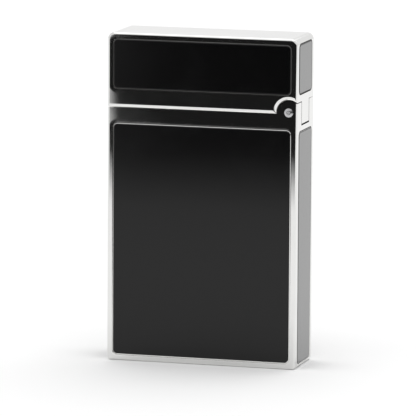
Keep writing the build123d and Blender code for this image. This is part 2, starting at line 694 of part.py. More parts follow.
# ---- Build -----------------------------------------------------------------------------------------
def build():
    """Every node of the lighter, by name."""
    outer = envelope()
    nodes = {"body_case": body_case(outer), "cap_shell": cap_shell(outer), "hinge_pin": hinge_pin()}
    for part in ("body", "cap"):
        for side in sides:
            nodes[f"{part}_{side}_panel"] = panel(side, panel_span(part, side))
    nodes["snuffer_post"], nodes["snuffer_pad"] = snuffer()
    nodes["chassis_plate"] = chassis_plate()
    nodes["chassis_screws"] = chassis_screws()
    nodes["burner_hood"] = burner_hood()
    (nodes["roller_axle"], nodes["roller_drum_front"], nodes["roller_drum_rear"],
     nodes["striker_wheel"]) = roller_parts()
    (nodes["valve_body"], nodes["valve_seal"], nodes["flow_filter"], nodes["burner_jet"],
     nodes["jet_seal"], nodes["jet_spring"], nodes["flame_adjuster"]) = valve_parts()
    nodes["valve_lever"], nodes["lever_pin"], nodes["lever_spring"] = lever_parts()
    nodes["cap_spring_housing"], nodes["cap_follower"], nodes["cap_spring"] = cap_spring_parts()
    (nodes["flint_tube"], nodes["flint"], nodes["flint_pusher"], nodes["flint_spring"],
     nodes["flint_screw"]) = flint_parts()
    nodes["fuel_tank"], nodes["tank_cover"] = tank_shell()
    (nodes["filler_valve"], nodes["filler_seal"], nodes["filler_poppet"], nodes["filler_spring"],
     nodes["filler_screw"]) = filler_parts()
    return nodes


if __name__ == "__main__":
    os.makedirs("parts", exist_ok=True)
    for name, shape in build().items():
        export_step(shape, f"parts/{name}.step")
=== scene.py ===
"""Looks and staging for a slim flip-top pocket gas lighter: polished metal, black lacquer, and its works."""
import json
from math import cos, pi, radians, sin

import bmesh
import bpy
from mathutils import Matrix, Vector


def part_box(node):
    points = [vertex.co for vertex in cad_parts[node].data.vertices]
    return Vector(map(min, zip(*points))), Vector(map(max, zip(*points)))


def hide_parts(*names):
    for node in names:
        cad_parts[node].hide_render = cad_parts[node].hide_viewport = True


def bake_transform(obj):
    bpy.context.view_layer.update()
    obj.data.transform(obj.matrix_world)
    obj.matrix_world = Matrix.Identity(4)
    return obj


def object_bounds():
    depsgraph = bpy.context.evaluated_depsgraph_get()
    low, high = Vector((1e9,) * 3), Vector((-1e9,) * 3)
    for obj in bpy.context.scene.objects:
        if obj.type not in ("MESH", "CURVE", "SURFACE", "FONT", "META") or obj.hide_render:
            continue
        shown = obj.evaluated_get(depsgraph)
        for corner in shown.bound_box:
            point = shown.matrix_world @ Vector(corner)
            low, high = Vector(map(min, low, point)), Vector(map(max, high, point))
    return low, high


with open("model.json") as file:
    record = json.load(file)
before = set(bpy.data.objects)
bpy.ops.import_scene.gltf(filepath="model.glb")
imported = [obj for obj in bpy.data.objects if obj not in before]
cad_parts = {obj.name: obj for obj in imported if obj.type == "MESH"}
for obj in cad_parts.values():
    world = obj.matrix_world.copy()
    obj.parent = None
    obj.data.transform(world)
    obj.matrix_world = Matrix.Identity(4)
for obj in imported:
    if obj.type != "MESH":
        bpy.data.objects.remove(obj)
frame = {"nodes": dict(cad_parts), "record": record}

bl_info = {
    "name": "Flip-top lighter finish",
    "version": (1, 0, 0),
    "blender": (4, 5, 0),
    "location": "3D View > Sidebar > Lighter",
    "description": "Finishes a flip-top pocket lighter and sets it on a pale studio floor",
    "category": "Object",
}

MM = 0.001
CAD_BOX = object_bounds()
PIECES = frame["nodes"]
SLOTS = {entry["node"]: entry["material_slot"] for entry in frame["record"]["subparts"]}
PANEL_SEAT = 0.55 * MM      # deeper than any panel's recess
GROOVE_DEPTH = 0.1 * MM
GROOVE_REACH = 0.3 * MM     # beyond the panel's edge to the far side of its groove
CASE_SHOULDER = 3.15 * MM   # case's front panel to the parting line
EAR_REACH = 1.7 * MM        # hinge pin's left side to the case's round ear
CAP_BEAD_SHADE = 0.86        # how far the bead round the cap's panels is darkened with painted shade
GROOVE_SHADE_RISE = (8 * MM, 40 * MM)  # painted groove shade is off below the first height and full above the second
COIL_MERGE = 0.0005 * MM    # vertices this close are one
GROOVE_SLOPE = (0.3, 0.8)   # shares of the groove's depth where the painted shade starts and where it is full
GROOVE_SHADE_COLOUR = (0.012, 0.011, 0.010, 1)
GROOVE_SHADE_ROUGHNESS = 0.5
FILM_ROUGHENING = 1.9       # roughness of handled chrome over clean chrome
FILM_DULLING = 0.95
HAIRLINE_TILT = radians(4)
HAIRLINE_RANGE = (0.62, 0.78)
HAIRLINE_ROUGHNESS = 0.03
HAIRLINE_DEPTH = 0.004 * MM
FILM_RANGE = (0.48, 0.72)
STAIN_RANGE = (0.42, 0.68)
GRAIN_RANGE = (0.35, 0.7)
LACQUER_IOR = 1.255
COAT_IOR = 1.265
COAT_ROUGHNESS = 0.05
LACQUER_HAZE = 1.5          # body colour under handling film over clean colour
DUST_SIZE = (0.035, 0.05)
DUST_RARITY = (0.955, 0.96)
DUST_COLOUR = (0.05, 0.05, 0.05, 1)
FINE_DEPTH = 0.01 * MM      # tool marks and fine grain
COARSE_DEPTH = 0.02 * MM
FOAM_DEPTH = 0.06 * MM
WORKED_BUMP = 0.35
HOOD_BUMP = 0.3
GRAIN_BUMP = 0.6
HEAT_RIPPLE = 0.22          # unevenness of the heat colours, as a share of the hood's height
HEAT_PAST = 0.15            # how far past the rim they run, as a share of it
HEAT_COLOURS = (
    (0.0, (0.16, 0.16, 0.165, 1)), (0.55, (0.13, 0.13, 0.14, 1)), (0.72, (0.26, 0.17, 0.09, 1)),
    (0.84, (0.15, 0.09, 0.13, 1)), (0.92, (0.08, 0.11, 0.20, 1)), (1.0, (0.20, 0.17, 0.15, 1)))
HOOD_ROUGHNESS = (0.28, 0.48)
FLOOR_REACH = 6             # metres each way
FLOOR_ROUGHNESS = 0.9
MIRROR_DARK = (0.012, 0.012, 0.012, 1)
MIRROR_CARD_RISE = 0.4 * MM # dark floor card above the floor
DARK_FLOOR = ((-1.5, -3.5), (2.5, -0.1))
DARK_EDGE = (-1.5 * MM, 3.0 * MM)
DARK_WALL_DISTANCE = 1.6
DARK_WALL_RIGHT = 2.5
DARK_WALL_HEIGHT = 0.5
DARK_WALL_FADE = 0.12
SOFT_BOXES = (              # name, place, aim, size, radiance
    ("overhead_soft_box", (0, -0.05, 0.8), (0, 0, 0), (0.7, 0.7), 1.0),
    ("back_soft_box", (0.1, 0.95, 0.85), (0, 0.1, 0), (1.6, 1.1), 0.49),
)
SURROUND_BAND = (0.12, 0.75)    # height range over which the surround goes from horizon to zenith
AIM_LEFT = 0.4 * MM
AIM_HEIGHT = 0.4645         # share of the lighter's height that the camera looks at
SENSOR_WIDTH = 36
CLIP_RANGE = (0.01, 50)
SPRINGS = (                 # spring, the body that presses it, its axis, and which end is pressed: 0 low, 1 high
    ("jet_spring", "jet", 2, 0),
    ("lever_spring", "lever", 2, 1),
    ("cap_spring", "follower", 0, 1),
    ("flint_spring", "flint_feed", 2, 1),
    ("filler_spring", "filler_stem", 2, 0),
)
FINISHES = {}


# ---- Settings --------------------------------------------------------------------------------------
class LighterMetalSettings(bpy.types.PropertyGroup):
    """Colours and polish of the metal pieces."""

    chrome_colour: bpy.props.FloatVectorProperty(
        name="Chrome colour", description="Tint of the mirror-polished case and cap",
        subtype="COLOR", size=3, min=0, max=1, default=(0.765, 0.763, 0.752))
    chrome_roughness: bpy.props.FloatProperty(
        name="Chrome roughness", description="Roughness of a clean stretch of the mirror polish",
        min=0, max=1, default=0.035)
    panel_buffing: bpy.props.FloatVectorProperty(
        name="Buffing by the panels",
        description="Width and depth of the soft rounding that buffing leaves there",
        unit="LENGTH", size=2, min=0, max=0.01, default=(0.0011, 0.000012), precision=6)
    rim_buffing: bpy.props.FloatVectorProperty(
        name="Buffing by the rim", description="Width and depth of the soft rounding beside the parting line",
        unit="LENGTH", size=2, min=0, max=0.01, default=(0.0014, 0.000012), precision=6)
    side_buffing: bpy.props.FloatVectorProperty(
        name="Buffing by the sides", description="Width and depth of the soft rounding towards the side edges",
        unit="LENGTH", size=2, min=0, max=0.02, default=(0.0035, 0.000004), precision=6)
    brass_colour: bpy.props.FloatVectorProperty(
        name="Brass colour", description="Tint of the bare brass works",
        subtype="COLOR", size=3, min=0, max=1, default=(0.78, 0.56, 0.24))
    nickel_colour: bpy.props.FloatVectorProperty(
        name="Nickel colour", description="Tint of the nickel-plated works",
        subtype="COLOR", size=3, min=0, max=1, default=(0.70, 0.67, 0.61))
    steel_colour: bpy.props.FloatVectorProperty(
        name="Steel colour", description="Tint of pins, axles, screws and springs",
        subtype="COLOR", size=3, min=0, max=1, default=(0.56, 0.56, 0.57))


class LighterLacquerSettings(bpy.types.PropertyGroup):
    """Colour and gloss of the lacquer panels."""

    lacquer_colour: bpy.props.FloatVectorProperty(
        name="Lacquer colour", description="Body colour under the clear top coat",
        subtype="COLOR", size=3, min=0, max=1, default=(0.0020, 0.0020, 0.0021))
    coat_weight: bpy.props.FloatProperty(
        name="Top coat", description="Strength of the clear top coat", min=0, max=1, default=1.0)
    waviness: bpy.props.FloatProperty(
        name="Waviness", description="Depth of the lacquer's faint surface waves",
        unit="LENGTH", min=0, max=0.0001, default=0.0000012, precision=7)


class LighterStageSettings(bpy.types.PropertyGroup):
    """Floor, light and camera."""

    floor_colour: bpy.props.FloatVectorProperty(
        name="Floor colour", description="Pale studio floor", subtype="COLOR", size=3, min=0, max=1,
        default=(0.91, 0.91, 0.91))
    horizon_strength: bpy.props.FloatProperty(
        name="Horizon", description="Brightness of the white surround at eye level", min=0, max=5, default=0.95)
    zenith_strength: bpy.props.FloatProperty(
        name="Zenith", description="Brightness of the white surround overhead", min=0, max=5, default=0.90)
    dark_start: bpy.props.FloatProperty(
        name="Dark zone start", description="Distance in front where the studio starts to go dark",
        unit="LENGTH", min=0, max=2, default=0.195)
    dark_fade: bpy.props.FloatProperty(
        name="Dark zone fade", description="Depth over which the studio goes dark",
        unit="LENGTH", min=0, max=2, default=0.085)
    dark_slant: bpy.props.FloatProperty(
        name="Dark zone slant", description="Left edge's slope, as distance left over distance in front",
        min=0, max=2, default=0.311)
    dark_left: bpy.props.FloatProperty(
        name="Dark zone left edge", description="Where the left edge would cross the lighter's middle plane",
        unit="LENGTH", min=0, max=2, default=0.0170)
    camera_azimuth: bpy.props.FloatProperty(
        name="Camera azimuth", description="Camera's turn to the right of the front", subtype="ANGLE",
        min=-pi, max=pi, default=radians(15.90))
    camera_elevation: bpy.props.FloatProperty(
        name="Camera elevation", description="Camera's height angle", subtype="ANGLE",
        min=-pi / 2, max=pi / 2, default=radians(8.70))
    camera_roll: bpy.props.FloatProperty(
        name="Camera roll", description="Camera's roll", subtype="ANGLE", min=-pi, max=pi,
        default=radians(0.34))
    camera_distance: bpy.props.FloatProperty(
        name="Camera distance", description="Camera to the point it looks at", unit="LENGTH",
        min=0.1, max=10, default=0.959)
    camera_lens: bpy.props.FloatProperty(
        name="Camera lens", description="Focal length in millimetres", min=10, max=1000, default=435.6)


# ---- Node helpers ----------------------------------------------------------------------------------
def add_node(tree, kind, settings=None, inputs=None):
    """A shader node with its settings and its unlinked or linked inputs."""
    new = tree.nodes.new(kind)
    for key, value in (settings or {}).items():
        setattr(new, key, value)
    for key, value in (inputs or {}).items():
        if isinstance(value, bpy.types.NodeSocket):
            tree.links.new(value, new.inputs[key])
        else:
            new.inputs[key].default_value = value
    return new


def new_group(name, sockets_in, sockets_out):
    """An empty shader group. Each socket is (name, kind, default)."""
    tree = bpy.data.node_groups.new(name, "ShaderNodeTree")
    for direction, sockets in (("INPUT", sockets_in), ("OUTPUT", sockets_out)):
        for label, kind, default in sockets:
            socket = tree.interface.new_socket(name=label, in_out=direction, socket_type=kind)
            if direction == "INPUT" and default is not None:
                socket.default_value = default
    return tree, tree.nodes.new("NodeGroupInput"), tree.nodes.new("NodeGroupOutput")


def object_place(tree, scale=(1, 1, 1), rotation=(0, 0, 0)):
    """Object coordinates, stretched and turned."""
    coords = add_node(tree, "ShaderNodeTexCoord")
    return add_node(tree, "ShaderNodeMapping", inputs={
        "Vector": coords.outputs["Object"], "Scale": scale, "Rotation": rotation}).outputs["Vector"]


def remap(tree, value, low, high, to_low, to_high):
    """The value moved from one range to another, clamped."""
    return add_node(tree, "ShaderNodeMapRange", inputs={
        "Value": value, "From Min": low, "From Max": high,
        "To Min": to_low, "To Max": to_high}).outputs["Result"]


def maths(tree, operation, first, second):
    """One sum of two values."""
    new = add_node(tree, "ShaderNodeMath", {"operation": operation}, {0: first, 1: second})
    return new.outputs["Value"]


def mix_colour(tree, factor, first, second):
    """Two colours mixed by a mask."""
    new = add_node(tree, "ShaderNodeMix", {"data_type": "RGBA"})
    for socket, value in (("Factor_Float", factor), ("A_Color", first), ("B_Color", second)):
        target = next(s for s in new.inputs if s.identifier == socket)
        if isinstance(value, bpy.types.NodeSocket):
            tree.links.new(value, target)
        else:
            target.default_value = value
    return next(s for s in new.outputs if s.identifier == "Result_Color")


def handling_group():
    """Polishing hairlines and the soft film that handling leaves, on any finished metal or lacquer."""
    tree, source, sink = new_group(
        "handling_marks",
        [("Hairline Scale", "NodeSocketFloat", 1400.0), ("Film Scale", "NodeSocketFloat", 90.0),
         ("Clean Roughness", "NodeSocketFloat", 0.04), ("Film Roughness", "NodeSocketFloat", 0.10)],
        [("Roughness", "NodeSocketFloat", None), ("Hairlines", "NodeSocketFloat", None),
         ("Film", "NodeSocketFloat", None)])
    along = object_place(tree, scale=(1, 1, 0.035), rotation=(0, HAIRLINE_TILT, 0))
    hair = add_node(tree, "ShaderNodeTexNoise", inputs={
        "Vector": along, "Scale": source.outputs["Hairline Scale"], "Detail": 3.0, "Roughness": 0.7})
    lines = remap(tree, hair.outputs["Fac"], *HAIRLINE_RANGE, 0, 1)
    soft = add_node(tree, "ShaderNodeTexNoise", inputs={
        "Vector": object_place(tree), "Scale": source.outputs["Film Scale"], "Detail": 5.0, "Roughness": 0.6,
        "Distortion": 0.6})
    film = remap(tree, soft.outputs["Fac"], *FILM_RANGE, 0, 1)
    mix = add_node(tree, "ShaderNodeMix", inputs={})
    tree.links.new(film, mix.inputs["Factor"])
    tree.links.new(source.outputs["Clean Roughness"], mix.inputs["A"])
    tree.links.new(source.outputs["Film Roughness"], mix.inputs["B"])
    total = maths(tree, "ADD", mix.outputs["Result"], maths(tree, "MULTIPLY", lines, HAIRLINE_ROUGHNESS))
    tree.links.new(total, sink.inputs["Roughness"])
    tree.links.new(lines, sink.inputs["Hairlines"])
    tree.links.new(film, sink.inputs["Film"])
    return tree


def machined_group():
    """Fine tool marks in one direction, for turned, milled and drawn metal."""
    tree, source, sink = new_group(
        "tool_marks",
        [("Pitch", "NodeSocketFloat", 3000.0), ("Stretch", "NodeSocketVector", (0.05, 0.05, 1.0)),
         ("Stain Scale", "NodeSocketFloat", 160.0)],
        [("Height", "NodeSocketFloat", None), ("Stain", "NodeSocketFloat", None)])
    coords = add_node(tree, "ShaderNodeTexCoord")
    spread = add_node(tree, "ShaderNodeVectorMath", {"operation": "MULTIPLY"}, {
        0: coords.outputs["Object"], 1: source.outputs["Stretch"]})
    marks = add_node(tree, "ShaderNodeTexNoise", inputs={
        "Vector": spread.outputs["Vector"], "Scale": source.outputs["Pitch"], "Detail": 4.0,
        "Roughness": 0.65})
    stain = add_node(tree, "ShaderNodeTexNoise", inputs={
        "Vector": coords.outputs["Object"], "Scale": source.outputs["Stain Scale"], "Detail": 6.0,
        "Roughness": 0.62})
    tree.links.new(marks.outputs["Fac"], sink.inputs["Height"])
    tree.links.new(remap(tree, stain.outputs["Fac"], *STAIN_RANGE, 0, 1), sink.inputs["Stain"])
    return tree


def grain_group():
    """A fine even grain, for rubber, foam and pressed powder."""
    tree, source, sink = new_group(
        "fine_grain",
        [("Grain Scale", "NodeSocketFloat", 6000.0)],
        [("Height", "NodeSocketFloat", None), ("Shade", "NodeSocketFloat", None)])
    place = object_place(tree)
    cells = add_node(tree, "ShaderNodeTexVoronoi", inputs={
        "Vector": place, "Scale": source.outputs["Grain Scale"]})
    shade = add_node(tree, "ShaderNodeTexNoise", inputs={
        "Vector": place, "Scale": 700.0, "Detail": 5.0})
    tree.links.new(cells.outputs["Distance"], sink.inputs["Height"])
    tree.links.new(remap(tree, shade.outputs["Fac"], *GRAIN_RANGE, 0, 1), sink.inputs["Shade"])
    return tree


def panel_border_group():
    """Distance outside a rounded panel's outline, from the place across and up the face."""
    tree, source, sink = new_group(
        "panel_border",
        [("Across", "NodeSocketFloat", 0.0), ("Up", "NodeSocketFloat", 0.0),
         ("Half Width", "NodeSocketFloat", 0.017), ("Middle", "NodeSocketFloat", 0.02),
         ("Half Height", "NodeSocketFloat", 0.02), ("Corner", "NodeSocketFloat", 0.0008)],
        [("Distance", "NodeSocketFloat", None)])
    beside = maths(tree, "SUBTRACT", source.outputs["Across"], source.outputs["Half Width"])
    height = maths(tree, "ABSOLUTE", maths(tree, "SUBTRACT", source.outputs["Up"], source.outputs["Middle"]), 0)
    above = maths(tree, "SUBTRACT", height, source.outputs["Half Height"])
    corner = add_node(tree, "ShaderNodeCombineXYZ", inputs={
        "X": maths(tree, "MAXIMUM", maths(tree, "ADD", beside, source.outputs["Corner"]), 0),
        "Y": maths(tree, "MAXIMUM", maths(tree, "ADD", above, source.outputs["Corner"]), 0)})
    length = add_node(tree, "ShaderNodeVectorMath", {"operation": "LENGTH"}, {0: corner.outputs["Vector"]})
    outside = maths(tree, "SUBTRACT", length.outputs["Value"], source.outputs["Corner"])
    tree.links.new(outside, sink.inputs["Distance"])
    return tree


def buffed_group():
    """Soft rounding over a width: 0 far away, falling ever faster to minus its depth at the edge."""
    tree, source, sink = new_group(
        "buffed_edge",
        [("Distance", "NodeSocketFloat", 1.0), ("Width", "NodeSocketFloat", 0.001),
         ("Depth", "NodeSocketFloat", 0.00001)],
        [("Height", "NodeSocketFloat", None)])
    share = maths(tree, "DIVIDE", source.outputs["Distance"], source.outputs["Width"])
    near = maths(tree, "MAXIMUM", maths(tree, "SUBTRACT", 1.0, share), 0)
    drop = maths(tree, "MULTIPLY", maths(tree, "MULTIPLY", near, near), source.outputs["Depth"])
    tree.links.new(maths(tree, "MULTIPLY", drop, -1.0), sink.inputs["Height"])
    return tree


def blank_material(name):
    """A material with a Principled shader, ready for its own nodes."""
    material = bpy.data.materials.new(name)
    material.use_nodes = True
    shader = material.node_tree.nodes["Principled BSDF"]
    return material, material.node_tree, shader


def placed_group(tree, group, values):
    """A group node in a material, with its own values."""
    new = tree.nodes.new("ShaderNodeGroup")
    new.node_tree = group
    for key, value in values.items():
        if isinstance(value, bpy.types.NodeSocket):
            tree.links.new(value, new.inputs[key])
        else:
            new.inputs[key].default_value = value
    return new


def bump(tree, shader, height, distance, strength):
    """A bump from a height value, into the shader's normal."""
    new = add_node(tree, "ShaderNodeBump", inputs={
        "Height": height, "Distance": distance, "Strength": strength})
    tree.links.new(new.outputs["Normal"], shader.inputs["Normal"])


# ---- Finishes --------------------------------------------------------------------------------------
def panel_distance(tree, groups, across, up, panels):
    """Distance to the nearest of some panels on one face."""
    nearest = 1.0
    for panel in panels:
        low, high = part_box(panel)
        half_width = max(high.x, high.y) if "front" in panel else high.y
        border = placed_group(tree, groups["panel_border"], {
            "Across": across, "Up": up, "Half Width": half_width,
            "Middle": (low.z + high.z) / 2, "Half Height": (high.z - low.z) / 2})
        nearest = maths(tree, "MINIMUM", nearest, border.outputs["Distance"])
    return nearest


def chrome_finish(groups, metal):
    """Mirror-polished plating: hairlines, handling film, buffed edges, painted shade in the grooves high up
    and painted shade on the bead round the cap's panels."""
    material, tree, shader = blank_material("mirror_plating")
    marks = placed_group(tree, groups["handling"], {
        "Clean Roughness": metal.chrome_roughness, "Film Roughness": metal.chrome_roughness * FILM_ROUGHENING})
    coords = add_node(tree, "ShaderNodeTexCoord")
    place = add_node(tree, "ShaderNodeSeparateXYZ", inputs={"Vector": coords.outputs["Object"]})
    sideways = maths(tree, "ABSOLUTE", place.outputs["X"], 0)
    through = maths(tree, "ABSOLUTE", place.outputs["Y"], 0)
    up = place.outputs["Z"]
    half_width, half_thickness = CAD_BOX[1].x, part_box("body_case")[1].y
    face_depth = maths(tree, "SUBTRACT", half_thickness, through)
    side_depth = maths(tree, "SUBTRACT", half_width, sideways)
    faces = ((sideways, face_depth, ("body_front_panel", "cap_front_panel")),
             (through, side_depth, ("body_right_panel", "cap_right_panel")))
    nearest, deep = 1.0, 0.0
    # Painted shade: the grooves by the panels are darkened to near black, not at all low down and fully higher
    # up.
    shade_rise = remap(tree, up, *GROOVE_SHADE_RISE, 0, 1)
    for across, depth, panels in faces:
        off_face = maths(tree, "GREATER_THAN", depth, PANEL_SEAT)
        border = maths(tree, "ADD", panel_distance(tree, groups, across, up, panels), off_face)
        nearest = maths(tree, "MINIMUM", nearest, border)
        groove_shade = remap(tree, depth, *[GROOVE_DEPTH * share for share in GROOVE_SLOPE], 0, 1)
        inside = maths(tree, "MULTIPLY", groove_shade, maths(tree, "LESS_THAN", border, GROOVE_REACH))
        inside = maths(tree, "MULTIPLY", inside, shade_rise)
        deep = maths(tree, "MAXIMUM", deep, inside)
    # Painted shade: the bead round the cap's panels is darkened towards near black as well.
    on_cap = maths(tree, "GREATER_THAN", up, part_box("cap_front_panel")[0].z - GROOVE_REACH)
    on_bead = maths(tree, "LESS_THAN", nearest, GROOVE_REACH)
    bead_shade = maths(tree, "MULTIPLY", maths(tree, "MULTIPLY", on_cap, on_bead), CAP_BEAD_SHADE)
    deep = maths(tree, "MAXIMUM", deep, bead_shade)
    clean = (*metal.chrome_colour, 1)
    dull = (*[c * FILM_DULLING for c in metal.chrome_colour], 1)
    plating = mix_colour(tree, marks.outputs["Film"], clean, dull)
    # The painted groove and bead shade is mixed into the plating colour here, with its own roughness.
    tree.links.new(mix_colour(tree, deep, plating, GROOVE_SHADE_COLOUR), shader.inputs["Base Color"])
    shader.inputs["Metallic"].default_value = 1
    rough = maths(tree, "ADD", marks.outputs["Roughness"], maths(tree, "MULTIPLY", deep, GROOVE_SHADE_ROUGHNESS))
    tree.links.new(rough, shader.inputs["Roughness"])
    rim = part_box("body_front_panel")[1].z + CASE_SHOULDER
    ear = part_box("hinge_pin")[0].x - EAR_REACH
    by_hinge = remap(tree, place.outputs["X"], ear - metal.rim_buffing[0], ear, 0, metal.rim_buffing[0])
    rim_distance = maths(tree, "ADD", maths(tree, "ABSOLUTE", maths(tree, "SUBTRACT", up, rim), 0), by_hinge)
    height = 0.0
    for distance, (reach, drop) in ((nearest, metal.panel_buffing), (rim_distance, metal.rim_buffing),
                                    (side_depth, metal.side_buffing)):
        edge = placed_group(tree, groups["buffed"], {"Distance": distance, "Width": reach, "Depth": drop})
        height = maths(tree, "ADD", height, edge.outputs["Height"])
    buffed = add_node(tree, "ShaderNodeBump", inputs={"Height": height, "Distance": 1.0, "Strength": 1.0})
    hairs = add_node(tree, "ShaderNodeBump", inputs={
        "Height": marks.outputs["Hairlines"], "Distance": HAIRLINE_DEPTH, "Strength": 0.05,
        "Normal": buffed.outputs["Normal"]})
    tree.links.new(hairs.outputs["Normal"], shader.inputs["Normal"])
    return material


def lacquer_finish(groups, lacquer):
    """Deep black lacquer under a clear coat, with faint waves, swirl marks and a few dust specks."""
    material, tree, shader = blank_material("black_lacquer")
    marks = placed_group(tree, groups["handling"], {
        "Hairline Scale": 1900.0, "Film Scale": 70.0, "Clean Roughness": 0.15, "Film Roughness": 0.20})
    specks = add_node(tree, "ShaderNodeTexVoronoi", inputs={
        "Vector": object_place(tree), "Scale": 420.0, "Randomness": 1.0})
    near = remap(tree, specks.outputs["Distance"], *DUST_SIZE, 1, 0)
    sparse = add_node(tree, "ShaderNodeSeparateColor", inputs={"Color": specks.outputs["Color"]})
    rare = remap(tree, sparse.outputs["Red"], *DUST_RARITY, 0, 1)
    dust = maths(tree, "MULTIPLY", near, rare)
    deep = (*lacquer.lacquer_colour, 1)
    hazed = (*[c * LACQUER_HAZE for c in lacquer.lacquer_colour], 1)
    body = mix_colour(tree, marks.outputs["Film"], deep, hazed)
    tree.links.new(mix_colour(tree, dust, body, DUST_COLOUR), shader.inputs["Base Color"])
    tree.links.new(marks.outputs["Roughness"], shader.inputs["Roughness"])
    shader.inputs["IOR"].default_value = LACQUER_IOR
    shader.inputs["Coat Weight"].default_value = lacquer.coat_weight
    shader.inputs["Coat IOR"].default_value = COAT_IOR
    shader.inputs["Coat Roughness"].default_value = COAT_ROUGHNESS
    waves = add_node(tree, "ShaderNodeTexNoise", inputs={
        "Vector": object_place(tree), "Scale": 260.0, "Detail": 1.0})
    bump(tree, shader, waves.outputs["Fac"], lacquer.waviness, WORKED_BUMP)
    return material


def worked_metal(groups, name, colour, stained, roughness, pitch, stretch, depth=FINE_DEPTH):
    """Machined metal: base colour, stained colour, low and high roughness, and tool marks."""
    material, tree, shader = blank_material(name)
    marks = placed_group(tree, groups["machined"], {"Pitch": pitch, "Stretch": stretch})
    tree.links.new(mix_colour(tree, marks.outputs["Stain"], (*colour, 1), (*stained, 1)),
                   shader.inputs["Base Color"])
    tree.links.new(remap(tree, marks.outputs["Stain"], 0, 1, *roughness), shader.inputs["Roughness"])
    shader.inputs["Metallic"].default_value = 1
    bump(tree, shader, marks.outputs["Height"], depth, WORKED_BUMP)
    return material


def heat_blackened_finish(groups):
    """Blackened hood steel that turns straw and blue towards its heated rim."""
    material, tree, shader = blank_material("heat_blackened_steel")
    low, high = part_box("burner_hood")
    coords = add_node(tree, "ShaderNodeTexCoord")
    parts = add_node(tree, "ShaderNodeSeparateXYZ", inputs={"Vector": coords.outputs["Object"]})
    marks = placed_group(tree, groups["machined"], {"Pitch": 2600.0, "Stretch": (1.0, 1.0, 0.08)})
    ripple = maths(tree, "MULTIPLY", marks.outputs["Stain"], (high.z - low.z) * HEAT_RIPPLE)
    rise = maths(tree, "ADD", parts.outputs["Z"], ripple)
    heat = remap(tree, rise, low.z, high.z + (high.z - low.z) * HEAT_PAST, 0, 1)
    ramp = add_node(tree, "ShaderNodeValToRGB", inputs={"Fac": heat})
    stops = ramp.color_ramp.elements
    stops[0].position, stops[0].color = HEAT_COLOURS[0]
    stops[1].position, stops[1].color = HEAT_COLOURS[-1]
    for place, colour in HEAT_COLOURS[1:-1]:
        stops.new(place).color = colour
    tree.links.new(ramp.outputs["Color"], shader.inputs["Base Color"])
    tree.links.new(remap(tree, marks.outputs["Stain"], 0, 1, *HOOD_ROUGHNESS), shader.inputs["Roughness"])
    shader.inputs["Metallic"].default_value = 1
    bump(tree, shader, marks.outputs["Height"], FINE_DEPTH, HOOD_BUMP)
    return material


def grained_finish(groups, name, dark, light, roughness, scale, depth):
    """Rubber, foam or pressed powder with a fine grain."""
    material, tree, shader = blank_material(name)
    grain = placed_group(tree, groups["grain"], {"Grain Scale": scale})
    tree.links.new(mix_colour(tree, grain.outputs["Shade"], (*dark, 1), (*light, 1)),
                   shader.inputs["Base Color"])
    tree.links.new(remap(tree, grain.outputs["Shade"], 0, 1, *roughness), shader.inputs["Roughness"])
    bump(tree, shader, grain.outputs["Height"], depth, GRAIN_BUMP)
    return material


def finishes():
    """Every finish by its material slot, made once."""
    if FINISHES:
        return FINISHES
    scene = bpy.context.scene
    metal, lacquer = scene.lighter_metal, scene.lighter_lacquer
    groups = {"handling": handling_group(), "machined": machined_group(), "grain": grain_group(),
              "panel_border": panel_border_group(), "buffed": buffed_group()}
    steel, nickel, brass = metal.steel_colour, metal.nickel_colour, metal.brass_colour
    FINISHES.update({
        "chrome": chrome_finish(groups, metal),
        "lacquer": lacquer_finish(groups, lacquer),
        "steel": worked_metal(groups, "bright_steel", steel, [c * 0.8 for c in steel], (0.16, 0.3),
                              3600.0, (1.0, 1.0, 0.15)),
        "hard_steel": worked_metal(groups, "file_cut_steel", (0.27, 0.265, 0.26), (0.13, 0.12, 0.115),
                                   (0.3, 0.55), 5200.0, (1.0, 0.3, 1.0), COARSE_DEPTH),
        "brass": worked_metal(groups, "turned_brass", brass, [c * 0.72 for c in brass], (0.2, 0.38),
                              4200.0, (0.08, 0.08, 1.0)),
        "nickel_brass": worked_metal(groups, "satin_nickel", nickel, [c * 0.86 for c in nickel], (0.22, 0.34),
                                     3800.0, (0.06, 1.0, 1.0)),
        "blackened_steel": heat_blackened_finish(groups),
        "rubber": grained_finish(groups, "seal_rubber", (0.012, 0.012, 0.012), (0.03, 0.03, 0.03),
                                 (0.5, 0.7), 9000.0, FINE_DEPTH),
        "filter_foam": grained_finish(groups, "filter_foam", (0.62, 0.58, 0.47), (0.8, 0.77, 0.68),
                                      (0.85, 0.95), 5200.0, FOAM_DEPTH),
        "flint": grained_finish(groups, "pressed_flint", (0.055, 0.05, 0.045), (0.15, 0.14, 0.13),
                                (0.5, 0.75), 8000.0, COARSE_DEPTH),
    })
    return FINISHES


def finish_nodes(names):
    """Each named CAD piece gets the finish of its slot."""
    for name in names:
        slots = PIECES[name].data.materials
        slots.clear()
        slots.append(finishes()[SLOTS[name]])


# ---- Piece operators -------------------------------------------------------------------------------
def working_spring(name, axis, pressed_end):
    """A merged, smooth-shaded copy of a coil spring, standing for the stiff one, which is hidden."""
    mesh = PIECES[name].data.copy()
    mesh.name = name + "_coil"
    bm = bmesh.new()
    bm.from_mesh(mesh)
    bmesh.ops.remove_doubles(bm, verts=bm.verts, dist=COIL_MERGE)
    for face in bm.faces:
        face.smooth = True
    bm.to_mesh(mesh)
    bm.free()
    coil = bpy.data.objects.new(name + "_coil", mesh)
    bpy.context.scene.collection.objects.link(coil)
    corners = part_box(name)
    middle = (corners[0] + corners[1]) / 2
    for corner in (corners[1 - pressed_end], corners[pressed_end]):
        end = middle.copy()
        end[axis] = corner[axis]
    mesh.materials.clear()
    mesh.materials.append(finishes()[SLOTS[name]])
    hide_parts(name)
    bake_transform(coil)
    return coil


class LIGHTER_OT_frames(bpy.types.Operator):
    """Finish the case and the cap in mirror plating"""

    bl_idname = "lighter.frames"
    bl_label = "Case and cap"

    def execute(self, context):
        finish_nodes(["body_case", "cap_shell", "hinge_pin"])
        return {"FINISHED"}


